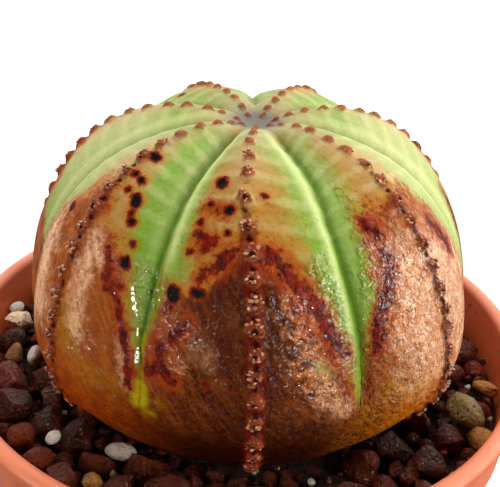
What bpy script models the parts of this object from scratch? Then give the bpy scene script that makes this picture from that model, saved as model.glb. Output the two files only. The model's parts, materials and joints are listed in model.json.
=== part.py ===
"""A baseball plant in its pot: a round ribbed succulent standing in grit in a small tapered pot.

Run with: blender --background --python part.py
Three pieces are made, each a closed solid at its real size, in metres with +Z up. The origin is
the centre of the pot's base, on the surface that the pot stands on.
"""
import math
import random

import bmesh
import bpy
import numpy as np
from mathutils import Matrix, Vector

MM = 0.001
GAP = 0.3 * MM                        # clearance between neighbouring pieces

# Pot: a moulded plastic pot with a bead rim, a collar and a tapered wall
POT_RIM_DIAMETER = 85.0 * MM
POT_HEIGHT = 75.0 * MM
POT_BASE_DIAMETER = 59.0 * MM
POT_WALL = 1.2 * MM
POT_FLOOR = 1.6 * MM
BASE_CHAMFER = 1.2 * MM
RIM_BEAD_WIDTH = 2.5 * MM
RIM_BEAD_HEIGHT = 2.3 * MM
RIM_OVERHANG = 1.2 * MM
RIM_ROUNDING = 0.4 * MM
COLLAR_HEIGHT = 11.0 * MM
COLLAR_STEP = 1.4 * MM
COLLAR_DRAFT = 0.5 * MM               # how much wider the collar is at its top
DRAIN_HOLE_DIAMETER = 4.6 * MM
DRAIN_HOLES = 8
DRAIN_CIRCLE_RADIUS = 21.0 * MM
POT_SIDES = 64
HOLE_SIDES = 12
SHARP_EDGE = math.radians(30.0)

# Plant: seven broad ribs round a flattened ball, widest a little above the rim
RIBS = 7
PLANT_DIAMETER = 65.0 * MM
EQUATOR_ABOVE_RIM = 7.8 * MM
CROWN_ABOVE_EQUATOR = 26.9 * MM
ROOT_BELOW_EQUATOR = 28.0 * MM
CROWN_FULLNESS = 0.68                 # under 1 squares the shoulders
CROWN_DOME = 1.07
UNDERSIDE_TAPER = 2.2                 # over 1 draws the underside in
CROWN_ANGLE = 1e-6                    # meridian angle of the crown's centre
BASE_ANGLE = math.radians(150.0)      # meridian angle where the buried base is cut flat
OUTLINE_STEPS = 600
CROWN_DIP = 2.0 * MM
CROWN_DIP_RADIUS = 5.0 * MM
FRONT_RIB_AZIMUTH = math.radians(-88.2)
PLANT_OFFSET = (0.7 * MM, -0.1 * MM)
FURROW_DEPTH = 1.6 * MM               # of the broad valley between two crests
FURROW_SHARPNESS = 2.3
CREASE_DEPTH = 0.6 * MM               # of the sharp crease along its bottom
CREASE_START = 0.82                   # share of the way from crest to furrow
LOW_FURROW_SHARE = 0.12               # of the depth, left where the side meets the grit
FURROW_OPENS = (math.radians(1.0), math.radians(9.0))
FURROW_FADES = (math.radians(84.0), math.radians(116.0))
FURROW_ENDS = (math.radians(116.0), math.radians(122.0))

# Flowering scars: one row of knobs down the crest of each rib
KNOB_HEIGHT = 1.1 * MM
KNOB_HALF_WIDTH = 0.9 * MM
KNOB_FOOT = 2.0 * MM
KNOB_PITCH = 2.9 * MM
CROWN_KNOB_PITCH = 2.1 * MM
FIRST_KNOB = 2.4 * MM                 # distance from the crown's centre, along the crest
KNOBS_PER_RIB = 21
CROWDED_KNOBS = 4                     # knobs over which the pitch grows to its full value
YOUNG_KNOB_SHARE = 0.6                # height of the knobs at the crown's centre
FULL_GROWN_AT = 12.0 * MM             # distance from the crown's centre
KNOB_VARIATION = (0.85, 1.1)
KNOB_SHOULDER_SHARE = 0.45            # height of a knob at its half width
ROW_STAGGER = 1.2 * MM                # most that one rib's knobs lie ahead of their row
ROW_STAGGER_GROWS = (4.0 * MM, 12.0 * MM)
ROW_STAGGER_ENDS = (14.0 * MM, 7.0 * MM)
FLANK_COLUMNS = (0.42, CREASE_START - 0.03, 0.93)
ROOT_ROWS = (0.2, 0.45, 0.72, 1.0)    # shares of the way from the last knob row to the base
PLANT_SEED = 5

# Grit: a bed that fills the pot, and three rough rings of stones half sunk in its top
BED_BELOW_RIM = 7.8 * MM
HOLE_GAP = 0.5 * MM                   # between the plant's base and the side of its hole
HOLE_LEVELS = (0.0, 0.35, 0.7, 1.0)
STONE_RINGS = (27.2 * MM, 31.6 * MM, 36.2 * MM)
STONE_PITCH = 5.0 * MM
STONE_SIZES = (4.2 * MM, 5.8 * MM)
STONE_JITTER = 0.5 * MM
STONE_LIFT = (0.0, 0.35)              # of a stone's radius, above the bed
STONE_CORNERS = (0.84, 1.08)          # reach of a stone's corners, as a share of its radius
STONE_FLATTENING = (0.78, 1.0)
STONE_SINK_STEP = 0.3 * MM
STONE_SEED = 11


def remove_all_objects():
    for item in list(bpy.data.objects):
        bpy.data.objects.remove(item, do_unlink=True)


def plain_material(name, colour, roughness):
    material = bpy.data.materials.new(name)
    material.use_nodes = True
    shader = material.node_tree.nodes["Principled BSDF"]
    shader.inputs["Base Color"].default_value = (*colour, 1.0)
    shader.inputs["Roughness"].default_value = roughness
    shader.inputs["Metallic"].default_value = 0.0
    return material


def add_object(name, points, faces, material, sharp_angle=None):
    mesh = bpy.data.meshes.new(name)
    mesh.from_pydata(points, [], faces)
    mesh.validate()
    mesh.materials.append(material)
    item = bpy.data.objects.new(name, mesh)
    bpy.context.scene.collection.objects.link(item)
    if sharp_angle is not None:
        mesh.shade_smooth()
        mesh.set_sharp_from_angle(angle=sharp_angle)
    return item


def ring_grid(rings, first_pole, last_pole):
    """Points and faces of a closed solid: rings of equal count between two poles, bottom first."""
    sides = len(rings[0])
    points = [first_pole] + [p for ring in rings for p in ring] + [last_pole]
    faces = []
    for i in range(sides):
        after = (i + 1) % sides
        faces.append((0, 1 + after, 1 + i))
        for row in range(len(rings) - 1):
            low = 1 + row * sides
            high = low + sides
            faces.append((low + i, low + after, high + after, high + i))
        top = 1 + (len(rings) - 1) * sides
        faces.append((len(points) - 1, top + i, top + after))
    return points, faces


def turned(profile, sides, centre=(0.0, 0.0)):
    """Turn a profile of (radius, height), from the axis and back to it, into a closed solid."""
    angles = [2.0 * math.pi * i / sides for i in range(sides)]
    rings = [
        [(centre[0] + r * math.cos(t), centre[1] + r * math.sin(t), z) for t in angles]
        for r, z in profile[1:-1]
    ]
    first = (*centre, profile[0][1])
    last = (*centre, profile[-1][1])
    return ring_grid(rings, first, last)


def apply_modifiers(item):
    depsgraph = bpy.context.evaluated_depsgraph_get()
    mesh = bpy.data.meshes.new_from_object(item.evaluated_get(depsgraph))
    item.modifiers.clear()
    item.data = mesh


def smooth_step(low, high, value):
    share = min(max((value - low) / (high - low), 0.0), 1.0)
    return share * share * (3.0 - 2.0 * share)


# The pot's outline, used by the pot and by the bed that fills it

def outer_wall_radius(height):
    """Radius of the tapered wall's outside, under the collar."""
    rim = POT_RIM_DIAMETER / 2.0 - RIM_OVERHANG - COLLAR_STEP
    base = POT_BASE_DIAMETER / 2.0
    collar_foot = POT_HEIGHT - COLLAR_HEIGHT
    return base + (rim - base) * height / collar_foot


def inner_wall(inset):
    """The cavity's profile, floor first, moved in by inset."""
    collar_foot = POT_HEIGHT - COLLAR_HEIGHT
    narrow = POT_WALL + inset
    rim_inside = POT_RIM_DIAMETER / 2.0 - RIM_BEAD_WIDTH - inset
    return [
        (outer_wall_radius(POT_FLOOR) - narrow, POT_FLOOR + inset),
        (outer_wall_radius(collar_foot) - narrow, collar_foot - POT_WALL),
        (rim_inside - COLLAR_DRAFT, collar_foot + COLLAR_DRAFT),
        (rim_inside, POT_HEIGHT - 2.0 * RIM_ROUNDING),
    ]


def make_pot():
    rim = POT_RIM_DIAMETER / 2.0
    collar = rim - RIM_OVERHANG
    collar_foot = POT_HEIGHT - COLLAR_HEIGHT
    bead_foot = POT_HEIGHT - RIM_BEAD_HEIGHT
    base = POT_BASE_DIAMETER / 2.0
    outside = [
        (0.0, 0.0),
        (base - BASE_CHAMFER, 0.0),
        (outer_wall_radius(BASE_CHAMFER), BASE_CHAMFER),
        (outer_wall_radius(collar_foot), collar_foot),
        (collar - COLLAR_DRAFT, collar_foot + 2.0 * COLLAR_DRAFT),
        (collar, bead_foot),
        (rim - RIM_ROUNDING, bead_foot + RIM_ROUNDING),
        (rim, bead_foot + RIM_BEAD_HEIGHT / 2.0),
        (rim - RIM_ROUNDING, POT_HEIGHT - RIM_ROUNDING),
        (rim - 2.0 * RIM_ROUNDING, POT_HEIGHT),
        (rim - RIM_BEAD_WIDTH + RIM_ROUNDING, POT_HEIGHT),
    ]
    profile = outside + inner_wall(0.0)[::-1] + [(0.0, POT_FLOOR)]
    clay_red = plain_material("pot", (0.50, 0.165, 0.085), 0.55)
    pot = add_object("pot", *turned(profile, POT_SIDES), clay_red, SHARP_EDGE)

    cutters = bpy.data.collections.new("drain_hole_cutters")
    bpy.context.scene.collection.children.link(cutters)
    for index in range(DRAIN_HOLES):
        angle = 2.0 * math.pi * (index + 0.5) / DRAIN_HOLES
        mesh = bpy.data.meshes.new("drain_hole")
        shape = bmesh.new()
        bmesh.ops.create_cone(
            shape, cap_ends=True, segments=HOLE_SIDES, depth=4.0 * POT_FLOOR,
            radius1=DRAIN_HOLE_DIAMETER / 2.0, radius2=DRAIN_HOLE_DIAMETER / 2.0,
        )
        shape.to_mesh(mesh)
        shape.free()
        cutter = bpy.data.objects.new("drain_hole_%d" % index, mesh)
        cutter.location = (
            DRAIN_CIRCLE_RADIUS * math.cos(angle),
            DRAIN_CIRCLE_RADIUS * math.sin(angle),
            POT_FLOOR / 2.0,
        )
        cutters.objects.link(cutter)
    cut = pot.modifiers.new("drain_holes", "BOOLEAN")
    cut.operation = "DIFFERENCE"
    cut.operand_type = "COLLECTION"
    cut.collection = cutters
    apply_modifiers(pot)
    remove_collection(cutters)
    return pot


def remove_collection(collection):
    for item in list(collection.objects):
        bpy.data.objects.remove(item, do_unlink=True)
    bpy.data.collections.remove(collection)


# The plant's body: a crest outline turned round the axis, with furrows sunk between the ribs

def crest_outline(angle):
    """Radius and height of a rib's crest, by meridian angle from the crown (0) downward."""
    equator = PLANT_DIAMETER / 2.0
    centre = POT_HEIGHT + EQUATOR_ABOVE_RIM
    sine = math.sin(angle)
    cosine = math.cos(angle)
    if angle <= math.pi / 2.0:
        radius = equator * sine ** CROWN_FULLNESS
        height = centre + CROWN_ABOVE_EQUATOR * max(cosine, 0.0) ** CROWN_DOME
    else:
        radius = equator * sine ** UNDERSIDE_TAPER
        height = centre + ROOT_BELOW_EQUATOR * cosine
    dip = CROWN_DIP * math.exp(-(radius / CROWN_DIP_RADIUS) ** 2)
    return radius, height - dip


def outline_table():
    """The crest outline by distance along it: distance, radius, height and meridian angle."""
    angles = np.linspace(CROWN_ANGLE, BASE_ANGLE, OUTLINE_STEPS)
    points = np.array([crest_outline(a) for a in angles])
    lengths = np.linalg.norm(np.diff(points, axis=0), axis=1)
    distance = np.concatenate([[0.0], np.cumsum(lengths)])
    return distance, points[:, 0], points[:, 1], angles


OUTLINE = outline_table()
OUTLINE_LENGTH = float(OUTLINE[0][-1])


def outline_at(distance):
    """Radius, height, outward normal (radial, up) and meridian angle at a distance from the crown."""
    step = 0.2 * MM
    before = max(distance - step, 0.0)
    after = min(distance + step, OUTLINE_LENGTH)
    table = OUTLINE[0]
    radius, height, angle = (float(np.interp(distance, table, column)) for column in OUTLINE[1:])
    along_r = float(np.interp(after, table, OUTLINE[1]) - np.interp(before, table, OUTLINE[1]))
    along_z = float(np.interp(after, table, OUTLINE[2]) - np.interp(before, table, OUTLINE[2]))
    length = math.hypot(along_r, along_z)
    return radius, height, (-along_z / length, along_r / length), angle


def furrow_share(angle):
    """How deep the furrows run: nothing at the crown's centre, full above, fading out low down."""
    opening = smooth_step(*FURROW_OPENS, angle)
    low_share = 1.0 - smooth_step(*FURROW_FADES, angle) * (1.0 - LOW_FURROW_SHARE)
    return opening * low_share * (1.0 - smooth_step(*FURROW_ENDS, angle))


def furrow_depth(share):
    """Full depth across a rib, by share of the way from crest (0) to furrow (1)."""
    valley = FURROW_DEPTH * share ** FURROW_SHARPNESS
    crease = CREASE_DEPTH * max(share - CREASE_START, 0.0) / (1.0 - CREASE_START)
    return valley + crease


def knob_distances():
    """Distance of each knob from the crown's centre, closer together near the crown."""
    distances = [FIRST_KNOB]
    while len(distances) < KNOBS_PER_RIB:
        grown = min(len(distances) / CROWDED_KNOBS, 1.0)
        pitch = CROWN_KNOB_PITCH + (KNOB_PITCH - CROWN_KNOB_PITCH) * grown
        distances.append(distances[-1] + pitch)
    return distances


def plant_rows():
    """Distance and kind of each row of the body's grid, from the crown's centre downward."""
    knobs = knob_distances()
    rows = [(knobs[0] - CROWN_KNOB_PITCH / 2.0, False)]
    for index, distance in enumerate(knobs):
        rows.append((distance, True))
        following = knobs[index + 1] if index + 1 < len(knobs) else distance + KNOB_PITCH
        rows.append(((distance + following) / 2.0, False))
    last = rows[-1][0]
    return rows + [(last + (OUTLINE_LENGTH - last) * share, False) for share in ROOT_ROWS]


def rib_columns(radius):
    """Places across one rib: share of the way from crest to furrow, signed, and knob share."""
    half_width = math.pi * radius / RIBS
    foot = min(KNOB_FOOT / half_width, FLANK_COLUMNS[0] - 0.08)
    shoulder = min(KNOB_HALF_WIDTH / half_width, foot / 2.0)
    near = [(shoulder, KNOB_SHOULDER_SHARE), (foot, 0.0)] + [(share, 0.0) for share in FLANK_COLUMNS]
    mirrored = [(-share, knob) for share, knob in near[::-1]]
    return mirrored + [(0.0, 1.0)] + near + [(1.0, 0.0)]


def stagger_share(distance):
    """How far the rows wave from rib to rib: not at the crown, nor down in the grit."""
    begins, ends = (OUTLINE_LENGTH - before_end for before_end in ROW_STAGGER_ENDS)
    return smooth_step(*ROW_STAGGER_GROWS, distance) * (1.0 - smooth_step(begins, ends, distance))


def plant_point(azimuth, share, along, raised):
    """A point of the body's surface, at a distance along the outline, with a knob's height added."""
    radius, height, normal, angle = outline_at(along)
    out = raised - furrow_share(angle) * furrow_depth(abs(share))
    reach = radius + normal[0] * out
    return (
        PLANT_OFFSET[0] + reach * math.cos(azimuth),
        PLANT_OFFSET[1] + reach * math.sin(azimuth),
        height + normal[1] * out,
    )


def make_plant():
    draw = random.Random(PLANT_SEED)
    staggers = [draw.uniform(-ROW_STAGGER, ROW_STAGGER) for _ in range(RIBS)]
    rings = []
    for distance, has_knob in plant_rows():
        knob_height = KNOB_HEIGHT if has_knob else 0.0
        young = 1.0 - smooth_step(0.0, FULL_GROWN_AT, distance)
        knob_height *= 1.0 - young * (1.0 - YOUNG_KNOB_SHARE)
        ring = []
        for rib in range(RIBS):
            vigour = draw.uniform(*KNOB_VARIATION)
            for share, knob_share in rib_columns(outline_at(distance)[0]):
                neighbour = staggers[(rib + (1 if share > 0 else -1)) % RIBS]
                blend = smooth_step(0.0, 1.0, abs(share) / 2.0)
                stagger = staggers[rib] + (neighbour - staggers[rib]) * blend
                along = min(distance + stagger * stagger_share(distance), OUTLINE_LENGTH)
                azimuth = FRONT_RIB_AZIMUTH + (2.0 * rib + share) * math.pi / RIBS
                ring.append(plant_point(azimuth, share, along, knob_height * knob_share * vigour))
        rings.append(ring)
    rings.reverse()
    foot = (*PLANT_OFFSET, crest_outline(BASE_ANGLE)[1])
    crown = (*PLANT_OFFSET, crest_outline(CROWN_ANGLE)[1])
    green_brown = plain_material("plant", (0.23, 0.17, 0.06), 0.45)
    return add_object("plant", *ring_grid(rings, foot, crown), green_brown, SHARP_EDGE)


# The bed of grit: a solid fill with a hole for the plant's base and stones sunk into its top

def plant_radius_at(height):
    """Radius of the plant's outline at a height under its equator."""
    return float(np.interp(height, OUTLINE[2][::-1], OUTLINE[1][::-1]))


def hole_profile(top):
    """The hole's side, from the bed's top down, and its bottom, clear of the plant's base."""
    bottom = crest_outline(BASE_ANGLE)[1] - GAP
    heights = [top + (bottom - top) * level for level in HOLE_LEVELS]
    return [(plant_radius_at(height) + HOLE_GAP, height) for height in heights], bottom


def make_bed(top):
    """The fill without its stones, and the radius where it meets the pot's wall."""
    side, bottom = hole_profile(top)
    wall = inner_wall(GAP)
    edge = float(np.interp(top, [wall[2][1], wall[3][1]], [wall[2][0], wall[3][0]]))
    middle = (edge + side[0][0]) / 2.0
    outside = [(0.0, wall[0][1]), wall[0], wall[1], wall[2], (edge, top), (middle, top)]
    points, faces = turned(outside + side + [(0.0, bottom)], POT_SIDES)
    hole_start = 1 + (len(outside) - 1) * POT_SIDES
    shift = Vector((*PLANT_OFFSET, 0.0))
    points = [
        tuple(Vector(point) + shift) if index >= hole_start else point
        for index, point in enumerate(points)
    ]
    grit = plain_material("substrate", (0.055, 0.032, 0.028), 0.85)
    return add_object("substrate", points, faces, grit), edge


def clear_of_plant(centre, radius):
    """Whether a stone keeps a gap to the overhanging side of the plant."""
    reach = math.hypot(centre.x - PLANT_OFFSET[0], centre.y - PLANT_OFFSET[1])
    nearest = np.hypot(reach - OUTLINE[1], centre.z - OUTLINE[2]).min()
    return nearest > radius * STONE_CORNERS[1] + HOLE_GAP


def stone_object(draw, centre, radius):
    """One angular stone, turned at random."""
    shape = bmesh.new()
    bmesh.ops.create_icosphere(shape, subdivisions=1, radius=radius)
    for vertex in shape.verts:
        vertex.co *= draw.uniform(*STONE_CORNERS)
    turn = Matrix.Rotation(draw.uniform(0.0, math.tau), 4, "Z")
    turn = turn @ Matrix.Rotation(draw.uniform(0.0, math.tau), 4, "X")
    flatten = Matrix.Diagonal((1.0, draw.uniform(*STONE_FLATTENING), draw.uniform(*STONE_FLATTENING), 1.0))
    shape.transform(Matrix.Translation(centre) @ turn @ flatten)
    mesh = bpy.data.meshes.new("stone")
    shape.to_mesh(mesh)
    shape.free()
    return bpy.data.objects.new("stone", mesh)


def make_substrate():
    top = POT_HEIGHT - BED_BELOW_RIM
    bed, edge = make_bed(top)
    stones = bpy.data.collections.new("stones")
    bpy.context.scene.collection.children.link(stones)
    draw = random.Random(STONE_SEED)
    for ring in STONE_RINGS:
        count = round(2.0 * math.pi * ring / STONE_PITCH)
        for index in range(count):
            radius = draw.uniform(*STONE_SIZES) / 2.0
            azimuth = 2.0 * math.pi * (index + draw.uniform(-0.2, 0.2)) / count
            reach = ring + draw.uniform(-STONE_JITTER, STONE_JITTER)
            reach = min(reach, edge - radius * STONE_CORNERS[1])
            height = top + draw.uniform(*STONE_LIFT) * radius
            centre = Vector((reach * math.cos(azimuth), reach * math.sin(azimuth), height))
            while not clear_of_plant(centre, radius):
                centre.z -= STONE_SINK_STEP
            stones.objects.link(stone_object(draw, centre, radius))
    join = bed.modifiers.new("stones", "BOOLEAN")
    join.operation = "UNION"
    join.operand_type = "COLLECTION"
    join.collection = stones
    apply_modifiers(bed)
    remove_collection(stones)
    return bed


remove_all_objects()
make_pot()
make_plant()
make_substrate()
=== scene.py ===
"""A baseball plant in its pot, dressed for its picture: studio, pot, grit, plant, in that order."""
import json
import math
import random

import bmesh
import bpy
import numpy as np
from mathutils import Matrix, Vector, noise

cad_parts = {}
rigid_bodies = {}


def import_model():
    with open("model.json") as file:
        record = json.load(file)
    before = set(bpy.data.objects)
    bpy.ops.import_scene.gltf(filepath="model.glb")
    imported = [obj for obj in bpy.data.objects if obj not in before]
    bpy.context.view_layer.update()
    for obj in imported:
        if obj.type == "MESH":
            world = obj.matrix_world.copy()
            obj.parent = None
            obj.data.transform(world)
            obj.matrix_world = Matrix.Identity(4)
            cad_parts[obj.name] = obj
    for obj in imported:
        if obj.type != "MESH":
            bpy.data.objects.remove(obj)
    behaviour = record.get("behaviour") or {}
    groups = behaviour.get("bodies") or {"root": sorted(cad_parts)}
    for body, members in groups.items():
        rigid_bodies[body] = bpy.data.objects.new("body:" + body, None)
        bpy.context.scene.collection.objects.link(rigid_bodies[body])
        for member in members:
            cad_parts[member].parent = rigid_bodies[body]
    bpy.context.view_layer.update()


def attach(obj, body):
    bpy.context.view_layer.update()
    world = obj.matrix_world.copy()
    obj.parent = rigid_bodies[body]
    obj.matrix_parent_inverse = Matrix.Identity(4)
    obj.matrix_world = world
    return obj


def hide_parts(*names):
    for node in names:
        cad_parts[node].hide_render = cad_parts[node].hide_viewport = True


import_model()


# Studio: a near camera looks down on the pot from in front, as in a close portrait. The pot
# stands on a plain white table top that runs back without an edge.
camera_data = bpy.data.cameras.new("near_camera")
camera_data.sensor_width = 36.0
camera_data.lens = 63.88
camera_data.clip_start = 0.01
camera = bpy.data.objects.new("near_camera", camera_data)
bpy.context.scene.collection.objects.link(camera)
bpy.context.scene.camera = camera
camera_place = (0.0, -0.11304, 0.15140)
forward = Vector((0.00512, 0.87633, -0.48168)).normalized()
upward = Vector((-0.04331, 0.48143, 0.87541))
rightward = forward.cross(upward).normalized()
upward = rightward.cross(forward)
turned_to = Matrix((rightward, upward, -forward)).transposed().to_4x4()
camera.matrix_world = Matrix.Translation(camera_place) @ turned_to
bpy.context.scene.view_settings.view_transform = "Standard"


def paint(red, green, blue):
    """A colour named on the usual 0 to 255 scale, as the shaders take it."""
    shares = [value / 255.0 for value in (red, green, blue)]
    return tuple(s / 12.92 if s < 0.04045 else ((s + 0.055) / 1.055) ** 2.4 for s in shares) + (1.0,)


def new_material(name):
    material = bpy.data.materials.new(name)
    material.use_nodes = True
    return material, material.node_tree, material.node_tree.nodes["Principled BSDF"]


def new_piece(name, points, faces, material):
    mesh = bpy.data.meshes.new(name)
    mesh.from_pydata([tuple(p) for p in points], [], [tuple(int(i) for i in f) for f in faces])
    mesh.validate()
    mesh.materials.append(material)
    mesh.shade_smooth()
    piece = bpy.data.objects.new(name, mesh)
    bpy.context.scene.collection.objects.link(piece)
    return piece


def feed(node, inputs):
    """Link or set a node's inputs, each given by its name or its number."""
    for name, value in inputs.items():
        if isinstance(value, bpy.types.NodeSocket):
            node.id_data.links.new(value, node.inputs[name])
        else:
            node.inputs[name].default_value = value


def put(tree, kind, inputs=None, **settings):
    made = tree.nodes.new(kind)
    for name, value in settings.items():
        setattr(made, name, value)
    feed(made, inputs or {})
    return made


def maths(operation, first, second=0.0, clamp=False):
    tree = next(value.id_data for value in (first, second) if isinstance(value, bpy.types.NodeSocket))
    made = put(tree, "ShaderNodeMath", {0: first, 1: second}, operation=operation, use_clamp=clamp)
    return made.outputs[0]


def times(*values):
    result = values[0]
    for value in values[1:]:
        result = maths("MULTIPLY", result, value)
    return result


def plus(first, second):
    return maths("ADD", first, second)


def higher(first, second):
    return maths("MAXIMUM", first, second)


def ramp(value, low, high, bottom=0.0, top=1.0):
    """A smooth rise of value from bottom at low to top at high."""
    inputs = {"Value": value, "From Min": low, "From Max": high, "To Min": bottom, "To Max": top}
    return put(value.id_data, "ShaderNodeMapRange", inputs, interpolation_type="SMOOTHSTEP").outputs[0]


# the table's paper is lit through from below where it is seen, which keeps it white in the picture
table_white, tree, shader = new_material("table_white")
seen = put(tree, "ShaderNodeLightPath").outputs["Is Camera Ray"]
feed(shader, {
    "Base Color": paint(120, 120, 120),
    "Roughness": 0.7,
    "Emission Color": (1.0, 1.0, 1.0, 1.0),
    "Emission Strength": plus(times(seen, 0.95), 0.02),
})
table_reach = 2.5
corner_sides = ((-1, -1), (1, -1), (1, 1), (-1, 1))
table_corners = [(x * table_reach, y * table_reach, 0.0) for x, y in corner_sides]
table = new_piece("table_top", table_corners, [(0, 1, 2, 3)], table_white)

# the room: a white paper sweep behind and above, and the dim room behind the camera; the camera
# itself sees white all round, so that the object stands on plain white from any side
surround = bpy.data.worlds.new("white_sweep")
surround.use_nodes = True
sky = surround.node_tree
direction = put(sky, "ShaderNodeTexCoord").outputs["Generated"]
backward = put(sky, "ShaderNodeSeparateXYZ", {0: direction}).outputs["Y"]
seen = put(sky, "ShaderNodeLightPath").outputs["Is Camera Ray"]
sky_strength = higher(ramp(backward, 0.1, 0.8, 0.02, 1.9), seen)
feed(sky.nodes["Background"], {"Strength": sky_strength, "Color": (1.0, 0.99, 0.97, 1.0)})
bpy.context.scene.world = surround

plant_middle = Vector((0.0, 0.0, 0.09))


def add_panel(name, place, size, power, colour, mirrored=True, lights_up=True):
    """An area light on the plant; it may leave out its mirror image in wet skin, or give only that."""
    light = bpy.data.lights.new(name, "AREA")
    light.shape = "RECTANGLE"
    light.size, light.size_y = size
    light.energy = power
    light.color = colour
    lamp = bpy.data.objects.new(name, light)
    bpy.context.scene.collection.objects.link(lamp)
    lamp.visible_glossy = mirrored
    lamp.visible_diffuse = lights_up
    lamp.location = place
    look = (plant_middle - Vector(place)).to_track_quat("-Z", "Y")
    lamp.rotation_euler = look.to_matrix().to_euler()


add_panel("overhead_panel", (0.02, 0.13, 0.55), (0.36, 0.36), 2.7, (1.0, 1.0, 1.0), mirrored=False)
add_panel("right_edge_panel", (0.36, 0.16, 0.2), (0.2, 0.3), 0.9, (1.0, 0.98, 0.95))
add_panel("fill_panel", (0.34, -0.33, 0.2), (0.2, 0.2), 1.6, (1.0, 0.94, 0.86), mirrored=False)
# three windows on the right and one on the left: turn, height, size, power and whether they light
# up the plant as well; the others only show as glints in its wet skin
window_distance = 0.46
windows = {
    "near": (-60.0, 0.155, (0.1, 0.14), 1.05, False),
    "middle": (-36.0, 0.155, (0.1, 0.14), 1.0, False),
    "far": (-11.0, 0.19, (0.08, 0.26), 1.75, True),
    "left": (-149.0, 0.2, (0.06, 0.28), 1.85, True),
}
for name, (turn, height, size, power, lights_up) in windows.items():
    across, deep = math.cos(math.radians(turn)), math.sin(math.radians(turn))
    place = (window_distance * across, window_distance * deep, height)
    add_panel("window_" + name, place, size, power, (1.0, 0.91, 0.77), True, lights_up)


# Pot: one moulding in terracotta-coloured plastic, with a bead rim, a collar, a tapered wall and
# small drain holes. Its skin is slightly grainy, and the crease under the bead is darkened in
# patches, partly grit dust caught there and partly painted shade under the bead; the bead's top is
# painted lighter as a highlight.
MM = 0.001


def mix(share, under, over):
    """One colour over another by a share; three plain numbers are a paint."""
    under, over = (paint(*colour) if isinstance(colour, tuple) else colour for colour in (under, over))
    made = put(share.id_data, "ShaderNodeMix", {0: share, 6: under, 7: over}, data_type="RGBA")
    return made.outputs[2]


def layers(colour, *coats):
    """Coats laid over a colour one by one: each is a colour and the shares that are multiplied."""
    for over, *shares in coats:
        colour = mix(times(*shares), colour, over)
    return colour


def millimetres(tree):
    """The place on the object, in millimetres."""
    place = put(tree, "ShaderNodeTexCoord").outputs["Object"]
    return put(tree, "ShaderNodeVectorMath", {0: place, "Scale": 1000.0}, operation="SCALE").outputs[0]


def new_group(name, inputs, outputs):
    """A node group over a place: its tree, its input values and its output node."""
    tree = bpy.data.node_groups.new(name, "ShaderNodeTree")
    tree.interface.new_socket(name="Place", in_out="INPUT", socket_type="NodeSocketVector")
    for label, value in inputs.items():
        socket = tree.interface.new_socket(name=label, in_out="INPUT", socket_type="NodeSocketFloat")
        socket.default_value = value
    for label in outputs:
        tree.interface.new_socket(name=label, in_out="OUTPUT", socket_type="NodeSocketFloat")
    return tree, put(tree, "NodeGroupInput").outputs, put(tree, "NodeGroupOutput")


# the mottle effect: cloudy patches of a given size, as a share from 0 to 1
inputs = {"Size": 1.0, "Detail": 3.0, "Low": 0.35, "High": 0.65}
mottle, within, out = new_group("mottle", inputs, ["Share"])
cloud = put(mottle, "ShaderNodeTexNoise", {
    "Vector": within["Place"],
    "Scale": maths("DIVIDE", 1.0, within["Size"]),
    "Detail": within["Detail"],
    "Roughness": 0.58,
})
feed(out, {"Share": ramp(cloud.outputs[0], within["Low"], within["High"])})

# the grain effect: fine pits and their height, with the share of the surface that they cover
grain, within, out = new_group("grain", {"Size": 1.0, "Cover": 0.3}, ["Pits", "Height"])
inputs = {"Vector": within["Place"], "Scale": maths("DIVIDE", 1.0, within["Size"])}
cell_distance = put(grain, "ShaderNodeTexVoronoi", inputs).outputs["Distance"]
pits = ramp(cell_distance, within["Cover"], times(within["Cover"], 0.4))
feed(out, {"Pits": pits, "Height": maths("SUBTRACT", cell_distance, pits)})


def use_group(group, **inputs):
    return put(inputs["Place"].id_data, "ShaderNodeGroup", inputs, node_tree=group).outputs


def mottled(place, size, low=0.35, high=0.65, detail=3.0):
    return use_group(mottle, Place=place, Size=size, Low=low, High=high, Detail=detail)["Share"]


def bump(height, distance, strength=1.0, normal=None):
    inputs = {"Height": height, "Distance": distance, "Strength": strength}
    if normal is not None:
        inputs["Normal"] = normal
    return put(height.id_data, "ShaderNodeBump", inputs).outputs[0]


pot_sides = 192
collar_foot = 64.0
floor_top = 1.6


def outer_wall(height):
    return 29.5 + 10.4 * height / collar_foot, height


def inner_wall(inset):
    floor_edge = outer_wall(floor_top)[0] - 1.2 - inset
    return [(floor_edge, floor_top + inset)] + [
        (radius - inset, height) for radius, height in ((38.7, 62.8), (39.5, 64.5), (40.0, 74.1))
    ]


def closed_skin(rings, first_pole, last_pole):
    """Points and faces of a skin over rings of points, closed by a pole at each end."""
    rings = np.array(rings)
    count, sides = rings.shape[:2]
    points = np.concatenate([rings.reshape(-1, 3), [first_pole, last_pole]])
    here = np.arange(sides)
    after = (here + 1) % sides
    last_ring = (count - 1) * sides
    faces = []
    for ring in range(0, last_ring, sides):
        below = ring + sides
        faces += np.stack([ring + here, below + here, below + after, ring + after], axis=1).tolist()
    faces += [(last_ring + sides, a, b) for a, b in zip(here, after)]
    faces += [(last_ring + sides + 1, last_ring + b, last_ring + a) for a, b in zip(here, after)]
    return points, faces


def turned(profile, sides):
    """Turn a profile of (radius, height) in millimetres round the axis into points and faces."""
    angles = [math.tau * i / sides for i in range(sides)]
    rings = [[(r * math.cos(a), r * math.sin(a), z) for a in angles] for r, z in profile[-2:0:-1]]
    points, faces = closed_skin(rings, (0.0, 0.0, profile[-1][1]), (0.0, 0.0, profile[0][1]))
    return points * MM, faces


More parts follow.
